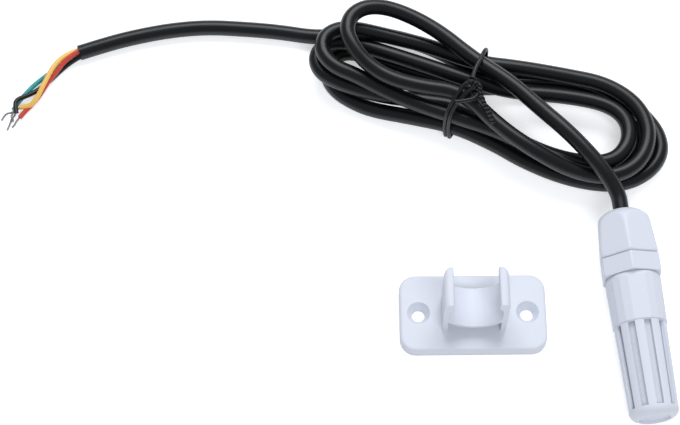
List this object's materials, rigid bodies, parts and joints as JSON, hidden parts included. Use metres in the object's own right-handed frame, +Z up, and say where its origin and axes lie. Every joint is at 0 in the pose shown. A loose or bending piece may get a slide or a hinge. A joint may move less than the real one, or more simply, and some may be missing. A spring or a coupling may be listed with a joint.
{
  "type": "wired environment sensor probe with clip bracket",
  "caption": "Temperature and humidity probe with a slotted white housing, cable gland, tied black cable and a loose clip bracket.",
  "frame": {"origin": "middle of the bracket's flat back face, on the surface that all the pieces lie on", "axes": "+X along the bracket's two screw holes, +Y from the bracket towards the cable hank, +Z up out of the bracket's screw face"},
  "size_m": [0.1924, 0.1279, 0.0221],
  "materials": {
    "shell_white": "satin moulded",
    "seal_rubber": "matt",
    "washer_plastic": "smooth",
    "filter_felt": "fine mesh",
    "potting": "cast resin",
    "cable_jacket": "semi-gloss",
    "board_green": "solder mask",
    "chip_metal": "plain",
    "chip_black": "matt",
    "passive_tan": "ceramic",
    "tinned_metal": "tinned",
    "core_red": "smooth",
    "core_black": "smooth",
    "core_yellow": "smooth",
    "core_green": "smooth",
    "tie_coat": "coated wire"
  },
  "bodies": {
    "gland": {"gland_body": "shell_white", "gland_seal": "seal_rubber", "potting_plug": "potting", "cable_tail": "cable_jacket", "sensor_board": "board_green", "sensor_chip": "chip_metal", "controller_chip": "chip_black", "regulator_chip": "chip_black", "board_passives": "passive_tan", "solder_joints": "tinned_metal", "board_core_red": "core_red", "board_core_black": "core_black", "board_core_yellow": "core_yellow", "board_core_green": "core_green", "cable_lead": "cable_jacket", "cable_hank": "cable_jacket", "cable_free_end": "cable_jacket", "twist_tie": "tie_coat", "lead_red": "core_red", "lead_black": "core_black", "lead_yellow": "core_yellow", "lead_green": "core_green", "strand_red": "tinned_metal", "strand_black": "tinned_metal", "strand_yellow": "tinned_metal", "strand_green": "tinned_metal"},
    "washer": {"gland_washer": "washer_plastic"},
    "nut": {"gland_nut": "shell_white"},
    "o_ring": {"housing_o_ring": "seal_rubber"},
    "housing": {"vented_housing": "shell_white", "filter_sleeve": "filter_felt"},
    "bracket": {"bracket": "shell_white"}
  },
  "joints": [
    {"name": "nut_advance", "type": "slide", "parent": "gland", "child": "washer", "axis": [-0.087, 0.9946, 0.0566], "range_m": [0, 0.0045]},
    {"name": "nut_turn", "type": "hinge", "parent": "washer", "child": "nut", "pos_m": [0.04275, 0.01874, 0.00955], "axis": [-0.087, 0.9946, 0.0566], "range_deg": [0, 1080]},
    {"name": "housing_advance", "type": "slide", "parent": "gland", "child": "o_ring", "axis": [0.087, -0.9946, -0.0566], "range_m": [0, 0.0075]},
    {"name": "housing_turn", "type": "hinge", "parent": "o_ring", "child": "housing", "pos_m": [0.0457, -0.01507, 0.00762], "axis": [0.087, -0.9946, -0.0566], "range_deg": [0, 1800]},
    {"name": "bracket_lift", "type": "slide", "parent": "gland", "child": "bracket", "axis": [0, 0, 1], "range_m": [0, 0.06]}
  ],
  "couplings": [
    {"joint": "nut_advance", "follows": "nut_turn", "m_per_rad": 0.00023873},
    {"joint": "housing_advance", "follows": "housing_turn", "m_per_rad": 0.00023873}
  ]
}
